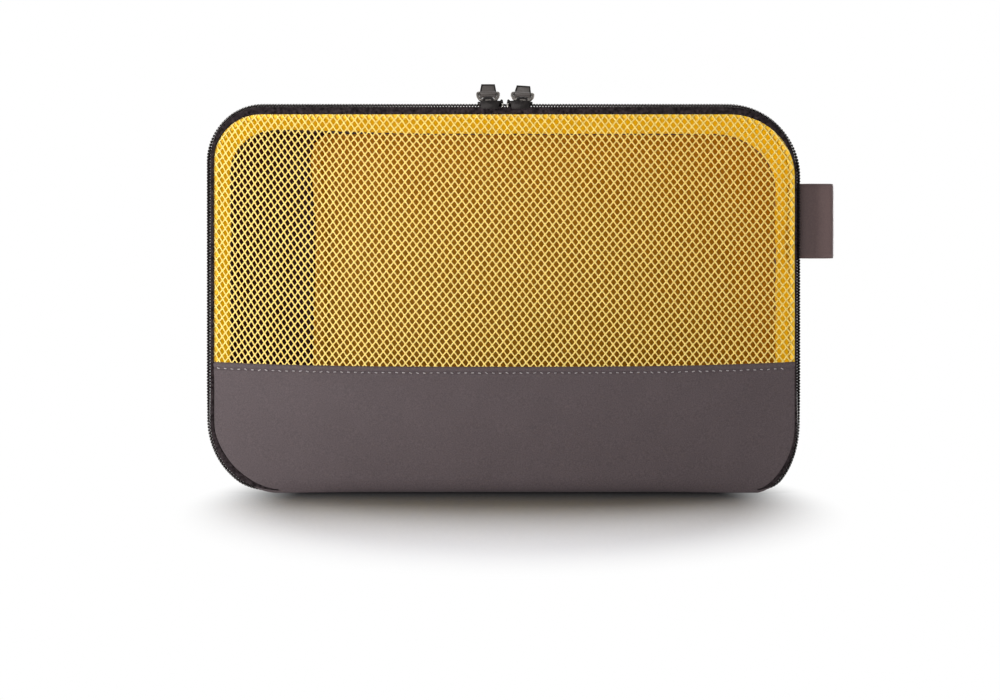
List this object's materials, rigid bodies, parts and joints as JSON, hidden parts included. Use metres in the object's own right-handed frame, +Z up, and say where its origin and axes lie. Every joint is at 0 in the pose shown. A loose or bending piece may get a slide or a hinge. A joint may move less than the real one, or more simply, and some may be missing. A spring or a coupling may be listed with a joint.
{
  "type": "packing cube",
  "caption": "Soft rectangular packing case with a yellow mesh front over a grey lower panel, a zip round three sides, a fold-down front and a webbing side tab.",
  "frame": {"origin": "middle of the flat base panel, on the surface that the case stands on, midway between the left and right walls and between the front tape and the back panel", "axes": "+X to the right seen from the front, the mesh front faces -Y, +Z up"},
  "size_m": [0.3736, 0.0769, 0.2431],
  "materials": {
    "grey_nylon": "plain-woven nylon, matt",
    "yellow_nylon": "plain-woven nylon, slight sheen",
    "yellow_mesh": "warp-knitted diamond mesh",
    "zip_tape": "herringbone polyester tape",
    "zip_coil": "satin nylon coil",
    "slider_metal": "dark gunmetal, semi-gloss",
    "pull_tab": "moulded, matt",
    "webbing": "folded nylon webbing",
    "thread": "twisted sewing thread"
  },
  "bodies": {
    "case": {"back_panel": "grey_nylon", "gusset_band": "yellow_nylon", "base_panel": "grey_nylon", "hinge_fold": "grey_nylon", "body_zip_tape": "zip_tape", "body_zip_chain": "zip_coil", "body_zip_stops": "slider_metal", "back_seam_binding": "yellow_nylon", "inner_pocket": "yellow_nylon", "pocket_hem": "yellow_nylon", "tab_anchor": "webbing"},
    "lid": {"front_mesh": "yellow_mesh", "lower_front_panel": "grey_nylon", "panel_hem": "grey_nylon", "panel_topstitch": "thread", "lid_zip_tape": "zip_tape", "lid_zip_chain": "zip_coil", "lid_zip_stops": "slider_metal", "lid_seam_binding": "yellow_nylon"},
    "left_slider": {"left_slider": "slider_metal"},
    "right_slider": {"right_slider": "slider_metal"},
    "left_pull": {"left_pull_ring": "slider_metal", "left_pull_tab": "pull_tab"},
    "right_pull": {"right_pull_ring": "slider_metal", "right_pull_tab": "pull_tab"},
    "side_tab": {"side_tab": "webbing"}
  },
  "joints": [
    {"name": "lid_hinge", "type": "hinge", "parent": "case", "child": "lid", "pos_m": [0, -0.0353, 0.0032], "axis": [1, 0, 0], "range_deg": [0, 85]},
    {"name": "left_slider_slide", "type": "slide", "parent": "case", "child": "left_slider", "axis": [-1, 0, 0], "range_m": [0, 0.118]},
    {"name": "right_slider_slide", "type": "slide", "parent": "case", "child": "right_slider", "axis": [1, 0, 0], "range_m": [0, 0.118]},
    {"name": "left_pull_swing", "type": "hinge", "parent": "left_slider", "child": "left_pull", "pos_m": [-0.009, -0.0311, 0.2332], "axis": [1, 0, 0], "range_deg": [-60, 110]},
    {"name": "right_pull_swing", "type": "hinge", "parent": "right_slider", "child": "right_pull", "pos_m": [0.009, -0.0311, 0.2332], "axis": [1, 0, 0], "range_deg": [-60, 110]},
    {"name": "side_tab_swing", "type": "hinge", "parent": "case", "child": "side_tab", "pos_m": [0.1746, -0.0173, 0.1625], "axis": [0, 0, 1], "range_deg": [-60, 60]}
  ]
}
